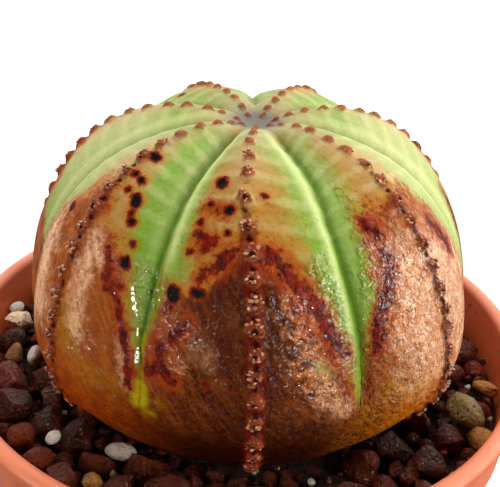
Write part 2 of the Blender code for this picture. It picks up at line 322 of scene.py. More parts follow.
def rounded(profile, corners, radius, steps=3):
    """The profile with some of its corners, by index, cut to a small round."""
    made = []
    for index, point in enumerate(profile):
        if index not in corners:
            made.append(point)
            continue
        here = Vector(point)
        before = (Vector(profile[index - 1]) - here).normalized() * radius
        after = (Vector(profile[index + 1]) - here).normalized() * radius
        for step in range(steps + 1):
            t = step / steps
            made.append(tuple(here + before * (1 - t) ** 2 + after * t ** 2))
    return made


pot_outside = [
    (0.0, 0.0), (28.3, 0.0), outer_wall(1.2), outer_wall(20.0), outer_wall(42.0),
    (39.9, 64.0), (40.8, 65.0), (41.3, 72.55), (41.75, 72.75), (42.3, 73.2), (42.5, 73.85),
    (42.3, 74.45), (41.75, 74.88), (41.2, 75.0), (40.75, 74.95), (40.3, 74.72),
]
pot_inside = inner_wall(0.0)[::-1] + [(0.0, floor_top)]
foot_corner, collar_corners, floor_corner = 2, (5, 6), 19
pot_profile = rounded(pot_outside + pot_inside, (foot_corner, *collar_corners, floor_corner), 0.35)

pot_plastic, tree, shader = new_material("pot_plastic")
place = millimetres(tree)
height_up = put(tree, "ShaderNodeSeparateXYZ", {0: place}).outputs["Z"]
fade = mottled(place, 22, 0.3, 0.7)
speckle = mottled(place, 0.5, 0.4, 0.7, 5)
# the crease under the bead, darkened in patches: partly dirt, partly painted shade
crease = ramp(maths("ABSOLUTE", maths("SUBTRACT", height_up, 72.5)), 0.9, 0.1)
crease_dirt_and_shade_patches = mottled(place, 1.3, 0.56, 0.68, 4)
# the top of the bead: dirt specks lie there, and it is painted lighter as a highlight
bead_top_dirt_and_highlight = ramp(height_up, 74.2, 74.9)
specks = mottled(place, 0.9, 0.70, 0.74, 2)
dirt_and_crease_shade = higher(times(crease, crease_dirt_and_shade_patches), times(specks, bead_top_dirt_and_highlight))
body_colour = layers(
    mix(fade, (172, 76, 38), (190, 98, 58)),
    ((150, 74, 50), speckle, 0.16),
    # dirt specks on the bead, and crease patches that are partly painted shade
    ((70, 42, 30), dirt_and_crease_shade, 0.8),
    # painted highlight: the bead's top is lighter
    ((226, 152, 120), bead_top_dirt_and_highlight, 0.25),
)
feed(shader, {
    "Base Color": body_colour,
    "Roughness": ramp(mottled(place, 6), 0, 1, 0.42, 0.56),
    "Normal": bump(mottled(place, 0.35, 0.2, 0.8, 4), 0.00003, 0.35),
})

pot_shell = new_piece("pot_shell", *turned(pot_profile, pot_sides), pot_plastic)
pot_shell.data.set_sharp_from_angle(angle=math.radians(50))
hole_cutters = bpy.data.collections.new("hole_cutters")
bpy.context.scene.collection.children.link(hole_cutters)
hole_count, hole_ring, hole_radius = 8, 21.0 * MM, 2.3 * MM
for index in range(hole_count):
    angle = math.tau * (index + 0.5) / hole_count
    shape = bmesh.new()
    bmesh.ops.create_cone(
        shape, cap_ends=True, segments=28, depth=6.4 * MM, radius1=hole_radius, radius2=hole_radius
    )
    punch = bpy.data.meshes.new("hole_punch")
    shape.to_mesh(punch)
    shape.free()
    punch_item = bpy.data.objects.new("hole_punch", punch)
    punch_item.location = (hole_ring * math.cos(angle), hole_ring * math.sin(angle), floor_top / 2.0 * MM)
    hole_cutters.objects.link(punch_item)
cut = pot_shell.modifiers.new("drain_holes", "BOOLEAN")
cut.operation = "DIFFERENCE"
cut.operand_type = "COLLECTION"
cut.collection = hole_cutters
cut.solver = "EXACT"
depsgraph = bpy.context.evaluated_depsgraph_get()
pierced = bpy.data.meshes.new_from_object(pot_shell.evaluated_get(depsgraph))
pot_shell.modifiers.clear()
pot_shell.data = pierced
for punch_item in list(hole_cutters.objects):
    bpy.data.objects.remove(punch_item, do_unlink=True)
bpy.data.collections.remove(hole_cutters)
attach(pot_shell, "root")
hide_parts("pot")


# Plant outline: the crest of a rib from the crown's centre down to the buried base, and the
# furrows between the ribs. The grit below needs it too, to keep its stones clear of the plant.
plant_centre = (0.7, -0.1)
ribs = 7
front_crest = math.radians(-88.2)
crest_angles = np.linspace(1e-6, math.radians(150), 1500)
plant_radius = 32.5
girth_height = 82.8
rise_above, drop_below, crown_dip = 26.9, 28.0, 2.0


def crest_profile(angle):
    """Radius and height in millimetres of a rib's crest, by angle from the crown downward."""
    sine, cosine = np.sin(angle), np.cos(angle)
    above = angle <= math.pi / 2.0
    radius = np.where(above, plant_radius * sine ** 0.68, plant_radius * sine ** 2.2)
    height = np.where(above, rise_above * np.maximum(cosine, 0.0) ** 1.07, drop_below * cosine)
    return radius, girth_height + height - crown_dip * np.exp(-((radius / 5.0) ** 2))


crest_radius, crest_height = crest_profile(crest_angles)
crest_steps = np.hypot(np.diff(crest_radius), np.diff(crest_height))
crest_along = np.concatenate([[0.0], np.cumsum(crest_steps)])
crest_length = crest_along[-1]


def on_crest(values, along):
    """A value of the crest line at a distance from the crown."""
    return np.interp(along, crest_along, values)


def rise(low, high, value):
    share = np.clip((value - low) / (high - low), 0.0, 1.0)
    return share * share * (3.0 - 2.0 * share)


stone_gap = 0.15


def keeps_clear(x, y, z, radius):
    """Whether a stone at this place, in millimetres, stays off the plant's side."""
    reach = math.hypot(x - plant_centre[0], y - plant_centre[1])
    return np.hypot(reach - crest_radius, z - crest_height).min() > radius + stone_gap


# Grit: crushed lava, dark, porous and sharp-cornered, over a bed of soil, with a few rounded
# white, tan and rust stones among it. It lies loose and was poured in round the plant.
bed_top = 67.2
bed_foot = 58.2
wall_inside = 39.3
sand = random.Random(21)

bed_colour, tree, shader = new_material("bed_soil")
place = millimetres(tree)
feed(shader, {
    "Base Color": mix(mottled(place, 1.6), (20, 11, 9), (54, 32, 24)),
    "Roughness": 0.92,
    "Normal": bump(mottled(place, 0.8, 0.2, 0.8, 5), 0.0005, 0.8),
})

bed_sides = 160
foot_steps = 600
foot_height, foot_radius = crest_height[::-1][:foot_steps], crest_radius[::-1][:foot_steps]
bed_rings = inner_wall(0.3)[:3] + [(wall_inside, bed_top - 0.6)]
bed_rings += [(wall_inside - step * 1.15, bed_top - 0.2) for step in range(1, 14)]
for z in (bed_top, 64.0, 61.0, bed_foot):
    bed_rings.append((float(np.interp(z, foot_height, foot_radius)) + 0.5, z))
bed_profile = [(0.0, inner_wall(0.3)[0][1])] + bed_rings + [(0.0, bed_foot)]
bed_points, bed_faces = turned(bed_profile, bed_sides)
# the bed's top is a little lumpy, and its hole for the plant's base lies under the plant's axis
hole_edge = 23.0
lump_height, lumps_per_metre = 0.45 * MM, 600.0
bumpy_points = []
for x, y, z in bed_points:
    across = math.hypot(x, y) / MM
    if z > (bed_top - 1.0) * MM and hole_edge < across < wall_inside - 0.4:
        z += lump_height * noise.noise(Vector((x, y, 0.0)) * lumps_per_metre)
    if z > (bed_foot - 1.2) * MM and across < hole_edge + 0.5:
        x, y = x + plant_centre[0] * MM, y + plant_centre[1] * MM
    bumpy_points.append((x, y, z))
soil_bed = new_piece("soil_bed", bumpy_points, bed_faces, bed_colour)
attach(soil_bed, "root")
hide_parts("substrate")


def ball(subdivisions):
    """Directions and faces of an evenly divided ball."""
    shape = bmesh.new()
    bmesh.ops.create_icosphere(shape, subdivisions=subdivisions, radius=1.0)
    points = np.array([v.co[:] for v in shape.verts])
    faces = [[v.index for v in f.verts] for f in shape.faces]
    shape.free()
    return points / np.linalg.norm(points, axis=1)[:, None], faces


balls = {level: ball(level) for level in (2, 3)}


def stone_points(draw, radius, stretch, level, facets=8, roughness=0.12, sharpness=1.0):
    """One stone round its own centre: a ball cut by random flats, then roughened."""
    directions, faces = balls[level]
    points = directions.copy()
    for _ in range(facets):
        flat = np.array([draw.gauss(0.0, 1.0) for _ in range(3)])
        flat /= np.linalg.norm(flat)
        depth = draw.uniform(0.52, 0.84)
        over = np.maximum(points @ flat - depth, 0.0)
        points -= np.outer(over * sharpness, flat)
    shift = Vector([draw.uniform(-50, 50) for _ in range(3)])
    rough = np.array([
        noise.noise(Vector(p) * 1.7 + shift) + 0.5 * noise.noise(Vector(p) * 4.3 + shift)
        for p in points
    ])
    points *= (1 + roughness * rough)[:, None]
    points *= np.array(stretch) * radius
    turn = Matrix.Rotation(draw.uniform(0.0, math.tau), 3, "Z")
    turn = turn @ Matrix.Rotation(draw.uniform(-0.5, 0.5), 3, "X")
    return points @ np.array(turn).T, faces


class Heap:
    """Stones of one kind, gathered into one piece."""

    def __init__(self):
        self.points, self.faces, self.shades, self.count = [], [], [], 0

    def add(self, points, faces, centre, shade):
        self.points.append(points + np.array(centre))
        self.faces += [[corner + self.count for corner in face] for face in faces]
        self.shades.append(np.full(len(points), shade))
        self.count += len(points)

    def make(self, name, material, slot="lava_grit"):
        points = np.concatenate(self.points) * MM
        piece = new_piece(name, points, self.faces, material)
        piece.data.set_sharp_from_angle(angle=math.radians(38))
        shades = piece.data.attributes.new("shade", "FLOAT", "POINT")
        shades.data.foreach_set("value", np.concatenate(self.shades))
        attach(piece, "root")


def stone_material(name, dark, light, speck, pit_size, pit_cover, gloss, speck_share):
    """A stone's finish: two tones, brighter specks of mineral, pits painted dark as shade, and a film of
    water.
    """
    material, tree, shader = new_material(name)
    place = millimetres(tree)
    shade = put(tree, "ShaderNodeAttribute", attribute_name="shade").outputs["Fac"]
    tone = plus(times(mottled(place, 1.7), 0.6), shade)
    pitted = use_group(grain, Place=place, Size=pit_size, Cover=pit_cover)
    specks = mottled(place, 0.28, 0.60, 0.72)
    under = bump(pitted["Height"], 0.0003 * pit_size, 0.9)
    feed(shader, {
        "Base Color": layers(
            mix(maths("MULTIPLY", tone, 0.62, clamp=True), dark, light),
            # painted shade: the pits are darkened almost to black
            ((10, 6, 6), pitted["Pits"], 0.75),
            (speck, specks, speck_share),
        ),
        "Roughness": ramp(specks, 0, 1, gloss + 0.22, gloss),
        "Normal": bump(mottled(place, 0.5, 0.2, 0.8, 6), 0.0004, 0.9, under),
        "Specular IOR Level": 0.15,
        "Coat Weight": 0.25,
        "Coat Roughness": 0.1,
        "Coat Normal": bump(mottled(place, 0.9, 0.2, 0.8, 1), 0.0004, 0.9),
    })
    return material


# dark tone, light tone, mineral specks, size and cover of the pits, gloss, share of the specks
stone_looks = {
    "lava_dark": ((34, 12, 7), (116, 52, 34), (198, 134, 104), 0.7, 0.3, 0.18, 0.5),
    "lava_rust": ((66, 20, 8), (124, 52, 26), (196, 122, 82), 0.7, 0.26, 0.18, 0.4),
    "river_white": ((206, 196, 180), (250, 246, 238), (255, 252, 246), 1.6, 0.1, 0.3, 0.4),
    "tan_stone": ((124, 78, 36), (186, 132, 70), (222, 184, 120), 1.1, 0.22, 0.4, 0.4),
    "olive_stone": ((86, 70, 34), (160, 142, 92), (196, 184, 140), 1.2, 0.26, 0.4, 0.4),
    "pumice": ((206, 162, 120), (250, 222, 186), (255, 240, 215), 0.9, 0.3, 0.6, 0.4),
}
stone_materials = {name: stone_material(name, *looks) for name, looks in stone_looks.items()}

# each kind's piece and material
stone_kinds = {
    "dark": ("lava_stones", "lava_dark"),
    "dark_small": ("lava_chips", "lava_dark"),
    "fines": ("lava_fines", "lava_dark"),
    "rust": ("rust_stones", "lava_rust"),
    "white": ("white_stones", "river_white"),
    "tan": ("tan_stones", "tan_stone"),
    "olive": ("olive_stones", "olive_stone"),
    "pumice": ("pumice_stones", "pumice"),
}
heaps = {kind: Heap() for kind in stone_kinds}
placed = []
deepest_stone, sink_step = bed_top - 6.0, 0.25


def lay_stone(kind, x, y, radius, stretch, lift, level, **look):
    """Lay one stone on the bed, sunk until it clears the plant's overhanging side."""
    z = bed_top + lift
    widest = radius * max(stretch) * 1.04
    while not keeps_clear(x, y, z, widest) and z > deepest_stone:
        z -= sink_step
    points, faces = stone_points(sand, radius, stretch, level, **look)
    heaps[kind].add(points, faces, (x, y, z), sand.uniform(0, 1))
    placed.append((x, y, radius))


# the stones that stand out: kind, place across and along, radius, stretch, lift, sharpness
chosen_stones = (
    ("white", -15.6, -22.2, 1.75, (1.25, 0.75, 0.62), 3.2, 0.25),
    ("white", -24.6, -21.7, 1.05, (1.2, 0.9, 0.8), 3.1, 0.25),
    ("white", -31.4, -3.5, 1.45, (0.62, 1.2, 0.9), 3, 0.25),
    ("white", -37.2, 9.6, 1.2, (0.9, 1.1, 0.8), 2.8, 0.25),
    ("pumice", -36.2, 6.6, 2.7, (0.95, 1.15, 0.8), 1.9, 0.8),
    ("rust", -25.8, -25.4, 2.1, (1, 0.92, 0.86), 2.4, 0.3),
    ("rust", -29.4, -20.6, 2.2, (1, 0.96, 0.86), 2, 0.4),
    ("dark", -21.9, -20.2, 3.1, (1.1, 0.95, 0.8), 1.6, 1),
    ("tan", -18, -29.6, 1.5, (1, 0.95, 0.8), 3, 0.7),
    ("dark", -8.8, -29.2, 2.9, (1.12, 0.9, 0.8), 1.6, 1),
    ("dark", -5.9, -24.6, 2.3, (1.1, 0.9, 0.8), 0.6, 0.8),
    ("olive", 3.2, -31.4, 2.6, (1.15, 0.95, 0.85), 1.9, 0.15),
    ("white", 9.9, -27.2, 0.75, (0.8, 1.15, 0.7), 2.2, 0.5),
    ("rust", 7.2, -27, 1.7, (1.2, 0.8, 0.7), 1, 1),
    ("olive", 32.6, -12.3, 2.7, (1.3, 0.95, 0.72), 2.9, 0.9),
    ("tan", 34.2, -17, 2.2, (1.15, 0.95, 0.8), 1.7, 0.5),
    ("dark", 29.5, -17.4, 2.6, (1, 0.9, 0.9), 1.7, 1),
    ("rust", 19.6, -27.4, 2.3, (1.1, 0.9, 0.8), 1.4, 0.8),
    ("tan", 37, -6, 1.8, (1.1, 0.9, 0.8), 2.2, 0.8),
    ("tan", -34.6, -2.6, 1.9, (0.9, 1.1, 0.8), 2.2, 0.8),
    ("white", 21, 29, 1.3, (1.2, 0.9, 0.7), 2.4, 0.3),
    ("pumice", -12, 33, 2.2, (1.1, 0.9, 0.8), 2, 0.8),
    ("rust", 31, 16, 2.3, (1, 0.9, 0.9), 1.8, 0.6),
    ("olive", -27, 22, 2.2, (1.1, 0.9, 0.8), 1.9, 0.6),
)
for kind, x, y, radius, stretch, lift, sharp in chosen_stones:
    rough = 0.05 + 0.07 * sharp
    lay_stone(kind, x, y, radius, stretch, lift, 3, roughness=rough, sharpness=sharp)


def scatter(kinds, tries, sizes, closeness, lifts, level, inner):
    """Lay stones at random wherever there is still room between those already there."""
    for _ in range(tries):
        radius = sand.uniform(*sizes)
        reach = math.sqrt(sand.uniform((inner + radius) ** 2, (wall_inside - radius * 1.05) ** 2))
        angle = sand.uniform(0.0, math.tau)
        kind = sand.choice(kinds)
        x, y = reach * math.cos(angle), reach * math.sin(angle)
        others = np.array(placed)
        apart = np.hypot(others[:, 0] - x, others[:, 1] - y)
        if (apart <= closeness * (others[:, 2] + radius)).any():
            continue
        stretch = (1.12, sand.uniform(0.72, 1.0), sand.uniform(0.7, 1.0))
        lift = sand.uniform(*lifts) * radius
        lay_stone(kind, x, y, radius, stretch, lift, level)


# stones, chips and fines: kinds, tries, sizes, closeness, lifts, fineness, inner edge of the ring
scatter(("dark",) * 10 + ("rust",) * 3, 6000, (2.5, 3.5), 0.86, (0.45, 0.95), 3, 22)
scatter(("dark_small",) * 9 + ("rust",), 6000, (1.2, 1.9), 0.78, (0.5, 1.2), 2, 22)
scatter(("fines",) * 16 + ("tan", "rust", "white"), 1500, (0.4, 0.8), 0.66, (0.6, 2.4), 2, 22.5)
for kind, (piece_name, material_name) in stone_kinds.items():
    heaps[kind].make(piece_name, stone_materials[material_name])


# Plant body: one grown skin over seven ribs. The crests carry rows of flowering scars, the
# furrows are green, and a dry brown cork has spread up from the base, wet from watering.
rib_names = ("front", "front_right", "right", "back_right", "back_left", "left", "front_left")
rows_along = np.concatenate([
    np.linspace(0.5, 6.0, 17)[:-1],
    np.arange(6.0, 60.0, 0.36),
    np.linspace(60.0, crest_length, 22),
])
columns_near, columns_flank, columns_groove = 7, 15, 6


def columns_for(half_width):
    """Shares across a flank, from crest to furrow, close together at both ends."""
    near = min(1.5 / half_width, 0.27)
    groove = min(1.9 / half_width, 0.3)
    return np.concatenate([
        np.linspace(0.0, near, columns_near + 1)[:-1],
        np.linspace(near, 1 - groove, columns_flank + 1)[:-1],
        np.linspace(1 - groove, 1.0, columns_groove + 1),
    ])


per_flank = columns_near + columns_flank + columns_groove
row_count = len(rows_along)
rib_of = np.zeros((row_count, ribs * 2 * per_flank), int)
share_of = np.zeros(rib_of.shape)
along_of = np.repeat(rows_along[:, None], rib_of.shape[1], axis=1)
half_widths = math.pi * np.maximum(on_crest(crest_radius, rows_along), 0.3) / ribs
for row in range(row_count):
    shares = columns_for(half_widths[row])
    one_rib = np.concatenate([[-1.0], -shares[::-1][1:-1], shares])[:2 * per_flank]
    share_of[row] = np.tile(one_rib, ribs)
    rib_of[row] = np.repeat(np.arange(ribs), 2 * per_flank)
half_of = np.repeat(half_widths[:, None], rib_of.shape[1], axis=1)


def along_curve(pairs, along):
    """A value that changes with the distance from the crown, from a few (distance, value)."""
    return np.interp(along, [p[0] for p in pairs], [p[1] for p in pairs])


# how far each crest line and each furrow line strays sideways, as a share of half a rib
crest_strays = {
    "front": ((5, -0.1), (9, -0.22), (20, -0.2), (28, -0.06), (38, 0), (50, 0.02)),
    "front_right": ((6, -0.04), (14, -0.14), (30, -0.12), (45, -0.05), (60, 0)),
    "right": ((5, 0), (14, 0.16), (24, 0.26), (40, 0.2), (60, 0.08)),
    "back_right": ((6, 0), (18, -0.06), (36, 0.05), (60, 0)),
    "back_left": ((6, 0), (20, 0.06), (45, -0.03), (60, 0)),
    "left": ((6, 0), (30, -0.05), (60, 0)),
    "front_left": ((6, 0), (20, -0.03), (40, 0.02), (60, 0)),
}
furrow_strays = {
    "front": ((6, 0), (16, -0.03), (24, -0.1), (30, -0.09), (37, -0.04), (45, 0)),
    "front_right": ((6, 0), (40, 0.02), (60, 0)),
    "right": ((6, 0), (25, -0.04), (60, 0)),
    "back_right": ((6, 0), (30, 0.05), (60, 0)),
    "back_left": ((6, 0), (30, -0.03), (60, 0)),
    "left": ((60, 0),),
    "front_left": ((6, 0), (14, -0.05), (30, -0.03), (36, -0.03), (41, -0.05), (46, 0)),
}
azimuth_of = np.zeros(rib_of.shape)
for rib, name in enumerate(rib_names):
    chosen = rib_of == rib
    share, along = share_of[chosen], along_of[chosen]
    own_furrow = along_curve(furrow_strays[name], along)
    last_furrow = along_curve(furrow_strays[rib_names[rib - 1]], along)
    stray = along_curve(crest_strays[name], along) * (1 - share ** 2)
    stray += np.where(share > 0, own_furrow, last_furrow) * share ** 2
    azimuth_of[chosen] = front_crest + (2.0 * rib + share + stray) * math.pi / ribs

# knobs: distance from the crown of each, by rib
knob_rows = {}
nature = random.Random(8)
for name in rib_names:
    row = [2.7 + nature.uniform(-0.3, 0.3)]
    for step in [2.0, 2.3, 2.6] + [2.95] * 17:
        row.append(row[-1] + (step + nature.uniform(-0.28, 0.28)))
    knob_rows[name] = row
knob_rows["front"] = [
    2.6, 4.9, 7.4, 10.1, 13.4, 16.6, 20.5, 24.3, 27.5, 30.4,
    33.2, 35.9, 38.9, 41.4, 44.6, 47.4, 50.6, 53.4, 56.3, 59.2,
]

radius_of = on_crest(crest_radius, along_of)
height_of = on_crest(crest_height, along_of)
angle_of = on_crest(crest_angles, along_of)
slope_step = 0.2
ahead_r = on_crest(crest_radius, along_of + slope_step) - on_crest(crest_radius, along_of - slope_step)
ahead_z = on_crest(crest_height, along_of + slope_step) - on_crest(crest_height, along_of - slope_step)
ahead = np.hypot(ahead_r, ahead_z)
normal_r, normal_z = -ahead_z / ahead, ahead_r / ahead
flank = np.abs(share_of)
from_crest = flank * half_of
from_furrow = (1 - flank) * half_of

opening = rise(math.radians(1), math.radians(9), angle_of)
lasting = 1 - rise(math.radians(84), math.radians(116), angle_of) * 0.88
lasting *= 1 - rise(math.radians(116), math.radians(122), angle_of)
groove_share = rise(3, 10, along_of) * (1 - rise(36, 49, along_of))
relief = -1.75 * opening * lasting * flank ** 1.9
relief -= 0.42 * groove_share * np.exp(-from_furrow / 0.9)
# swollen lips beside the furrows, fullest on the front ribs: rib, side and strength
front_sides = np.where(rib_of == 0, 1.0, 0.25)
for rib, side, strength in ((6, -1, 0.9), (1, 1, 0.9), (5, 1, 0.7), (2, -1, 0.7)):
    front_sides[(rib_of == rib) & (share_of * side > 0)] = strength
relief += 0.3 * front_sides * groove_share * np.exp(-(((from_furrow - 1.45) / 0.75) ** 2))

# the front rib's knobs are larger from this distance down
larger_from = 26.0
knob_share = np.zeros(rib_of.shape)
gap_share = np.zeros(rib_of.shape)
band_field = np.zeros(rib_of.shape)
for rib, name in enumerate(rib_names):
    chosen = rib_of == rib
    bowed = along_of[chosen] - 1.3 * flank[chosen] ** 2
    order = np.interp(bowed, knob_rows[name], np.arange(len(knob_rows[name])))
    band_field[chosen] = 0.5 + 0.5 * np.cos(order * math.tau)
    for along in knob_rows[name]:
        grown = 0.7 + 0.3 * float(rise(2, 12, along))
        grown *= 1.15 if rib == 0 and along > larger_from else 1.0
        size = grown * nature.uniform(0.88, 1.1)
        side = nature.uniform(-0.12, 0.12)
        across = share_of[chosen] * half_of[chosen] - side
        down = along_of[chosen] - along
        wide = 1.02 - 0.2 * float(rise(20, 8, along))
        apart = np.sqrt((across / wide) ** 2 + (down / (wide + 0.1)) ** 2) / size
        toward = np.arctan2(down, across)
        lumpy = 0.13 * np.sin(3.0 * toward + side * 40.0) + 0.09 * np.sin(5.0 * toward + along * 9.0)
        knob = 1 - rise(0.25, 1.18, apart * (1 + lumpy))
        knob_share[chosen] = np.maximum(knob_share[chosen], knob)
        relief[chosen] += 0.66 * size * knob
        # the hollow under each knob and the pit beside it: sunk into the skin, and later painted dark as
        # shade
        hollow = 0.85 * np.exp(-((across / 0.5) ** 2 + ((down - 1.45 * size) / 0.4) ** 2))
        pit = across + 2.0 * side
        hollow = np.maximum(hollow, np.exp(-(pit ** 2 + (down - 0.3) ** 2) / (0.34 * size) ** 2))
        gap_share[chosen] = np.maximum(gap_share[chosen], hollow * float(rise(12, 20, along)))
relief -= 0.28 * gap_share


def surface_distance(azimuth, along):
    """How far across and down the skin every point lies from one place on it, in millimetres."""
    turn = (azimuth_of - math.radians(azimuth) + math.pi) % math.tau - math.pi
    return turn * radius_of, along_of - along


def stroke(places, width):
    """From 1 on a line through the places (azimuth, along), by 0 at its width, down to -1."""
    nearest = np.hypot(*surface_distance(*places[0]))
    for start, end in zip(places[:-1], places[1:]):
        ax, ay = surface_distance(*start)
        step_x = math.radians(end[0] - start[0]) * radius_of
        step_y = end[1] - start[1]
        length = step_x ** 2 + step_y ** 2 + 1e-9
        t = np.clip((ax * step_x + ay * step_y) / length, 0.0, 1.0)
        nearest = np.minimum(nearest, np.hypot(ax - t * step_x, ay - t * step_y))
    return np.maximum(1 - nearest / width, -1.0)


# scabs: black sunken spots with a rusty ring, each a radius and one place or the two of its ends
scabs = [
    (0.62, (-137.6, 17.4), (-135.6, 17.6)), (0.42, (-136.3, 20.8)),
    (0.45, (-133.2, 21.1), (-132.4, 21.2)), (0.4, (-134.4, 23)),
    (0.66, (-129.9, 23.5), (-128.9, 24.1)), (0.4, (-128.1, 25.4)),
    (0.45, (-127, 26.4), (-126.6, 26.5)), (0.36, (-123.4, 28.9)),
    (0.74, (-123.6, 31.2), (-123.3, 31.5)), (0.42, (-127.2, 33.9)),
    (0.3, (-125.9, 35.1)), (0.36, (-122.5, 34.3)),
    (0.66, (-102.8, 17.9), (-102.2, 18.5)), (0.6, (-97.7, 22.2), (-97.3, 22.3)),
    (0.34, (-104, 21.6)), (0.36, (-105.8, 24)), (0.34, (-96.8, 25.2)), (0.4, (-106.6, 27.8)),
    (0.9, (-108.6, 33), (-108.2, 33.6)), (0.5, (-108.9, 34.7)),
    (0.52, (-103.2, 32.5), (-101.2, 32.7)), (0.36, (-86.1, 19.9)), (0.34, (-105.2, 36.6)),
    (0.42, (-98.2, 43.2)), (0.6, (-152.5, 29), (-152, 29.1)),
]
back_marks, back_mark_count = random.Random(14), 26
for _ in range(back_mark_count):
    spot = (back_marks.uniform(8, 160), back_marks.uniform(15, 36))
    scabs.append((back_marks.uniform(0.3, 0.75), spot))
scab_field = np.full(rib_of.shape, -1.6)
scab_reach = 4.0
for radius, *places in scabs:
    inside = radius * 0.8 - (1 - stroke(places, scab_reach)) * scab_reach
    scab_field = np.maximum(scab_field, inside)

# where the brown cork begins on each flank: (share from crest to furrow, distance from crown)
cork_edges = {
    ("front", "right"): ((0, 26.5), (0.1, 27), (0.3, 30), (0.47, 33), (0.6, 36), (0.72, 39.2),
                         (0.8, 41.6), (0.86, 45), (0.93, 48.5), (1, 51)),
    ("front", "left"): ((0, 26.3), (0.1, 27.2), (0.26, 29.5), (0.36, 30.8), (0.46, 31.9), (0.6, 33),
                        (0.83, 33.6), (0.88, 35.5), (0.92, 38), (0.96, 41.5), (1, 49)),
    ("front_left", "right"): ((0, 23.5), (0.08, 27), (0.2, 30), (0.42, 29.8), (0.57, 30.8),
                              (0.74, 34.6), (0.84, 38.2), (0.92, 42), (0.97, 46), (1, 49)),
    ("front_left", "left"): ((0, 23.5), (0.2, 25.5), (0.5, 27.5), (0.8, 30.5), (1, 37)),
    ("front_right", "left"): ((0, 24), (0.3, 24.3), (0.5, 23.6), (0.62, 24.5), (0.68, 28),
                              (0.74, 32.5), (0.8, 36), (0.9, 40), (1, 45)),
    ("front_right", "right"): ((0, 24), (0.3, 25), (0.5, 28.5), (0.7, 33), (0.9, 37), (1, 43)),
    ("left", "right"): ((0, 26), (0.3, 29.5), (0.55, 35), (0.85, 37.5), (1, 40)),
    ("right", "left"): ((0, 27), (0.4, 32), (0.7, 38), (1, 45)),
    ("back_right", "left"): ((0, 25), (0.3, 27), (0.6, 31), (0.85, 38), (1, 47)),
}
usual_edge = ((0, 26), (0.25, 27.5), (0.5, 30), (0.75, 35), (0.9, 41), (1, 48))

# where the green begins beside each furrow: (distance from crown, share from crest)
green_edges = {
    ("front_left", "right"): ((8, 0.25), (15, 0.36), (20, 0.44), (25, 0.56), (31, 0.74), (36, 0.86),
                              (42, 0.95), (49, 1)),
    ("front", "left"): ((8, 0.5), (15, 0.72), (25, 0.74), (31, 0.76), (35, 0.88), (42, 0.97), (49, 1)),
    ("front", "right"): ((8, 0.45), (15, 0.6), (25, 0.66), (31, 0.74), (36, 0.82), (42, 0.9), (50, 1)),
    ("front_right", "left"): ((6, 0.6), (15, 0.66), (28, 0.68), (33, 0.73), (36, 0.8), (40, 0.9),
                              (46, 1)),
    ("front_right", "right"): ((6, 0.4), (15, 0.45), (25, 0.5), (32, 0.68), (40, 0.92), (46, 1)),
    ("right", "left"): ((6, 0.2), (15, 0.25), (25, 0.35), (34, 0.55), (42, 0.9), (47, 1)),
    ("left", "right"): ((6, 0.3), (15, 0.35), (25, 0.4), (34, 0.6), (40, 0.9), (46, 1)),
}
usual_green = ((8, 0.4), (15, 0.5), (25, 0.6), (31, 0.74), (38, 0.88), (48, 1))

cork_field = np.zeros(rib_of.shape)
green_field = np.zeros(rib_of.shape)
for rib, name in enumerate(rib_names):
    for side, facing in (("left", share_of <= 0), ("right", share_of > 0)):
        chosen = (rib_of == rib) & facing
        pairs = cork_edges.get((name, side), usual_edge)
        u = flank[chosen]
        slope = (along_curve(pairs, u + 0.05) - along_curve(pairs, u - 0.05)) / 0.1
        slope /= half_of[chosen]
        below_edge = along_of[chosen] - along_curve(pairs, u)
        cork_field[chosen] = below_edge / np.sqrt(1 + slope ** 2)
        edge = along_curve(green_edges.get((name, side), usual_green), along_of[chosen])
        green_field[chosen] = (flank[chosen] - edge) * half_of[chosen]
cork_field = np.minimum(cork_field, along_of - 20.0)


map_radius = 26.0
wave_count, wave_height = 14, 5.0


def wide_noise(size, seed):
    """Slow waves over the skin, from -1 to 1."""
    made = np.zeros(rib_of.shape)
    waves = random.Random(seed)
    for _ in range(wave_count):
        way = waves.choice((-1.0, 1.0))
        count = way * max(round(map_radius / size * waves.uniform(0.3, 1.2)), 1)
        pace = waves.uniform(0.3, 1.2) / size
        made += np.sin(azimuth_of * count + along_of * pace + waves.uniform(0.0, math.tau))
    return made / wave_height


# gentle unevenness: broad swells, cross wrinkles towards the crown, lumps in the cork
corked = rise(-1.5, 2.5, cork_field)
banded = rise(5, 9, along_of) * (1 - rise(24, 34, along_of)) * (1 - knob_share)
relief += 0.07 * (band_field - 0.5) * banded * (0.4 + flank)
relief += 0.16 * wide_noise(11.0, 2) * rise(6, 14, along_of)
relief += 0.07 * wide_noise(2.6, 3) * corked * (1 - knob_share)
relief += 0.12 * wide_noise(5.0, 9) * corked
relief += 0.22 * np.exp(-((from_crest / 1.7) ** 2)) * rise(8, 20, along_of)
relief -= 0.16 * rise(0, 0.35, scab_field)
relief += 0.08 * np.exp(-(((scab_field + 0.15) / 0.25) ** 2))
relief *= 1 - rise(60, 70, along_of)

body_radius = radius_of + normal_r * relief
skin_x = plant_centre[0] + body_radius * np.cos(azimuth_of)
skin_y = plant_centre[1] + body_radius * np.sin(azimuth_of)
skin_z = height_of + normal_z * relief
skin_rings = np.stack([skin_x, skin_y, skin_z], axis=-1)
crown_pole, foot_pole = (*plant_centre, crest_height[0]), (*plant_centre, crest_height[-1])
skin_points, skin_faces = closed_skin(skin_rings, crown_pole, foot_pole)
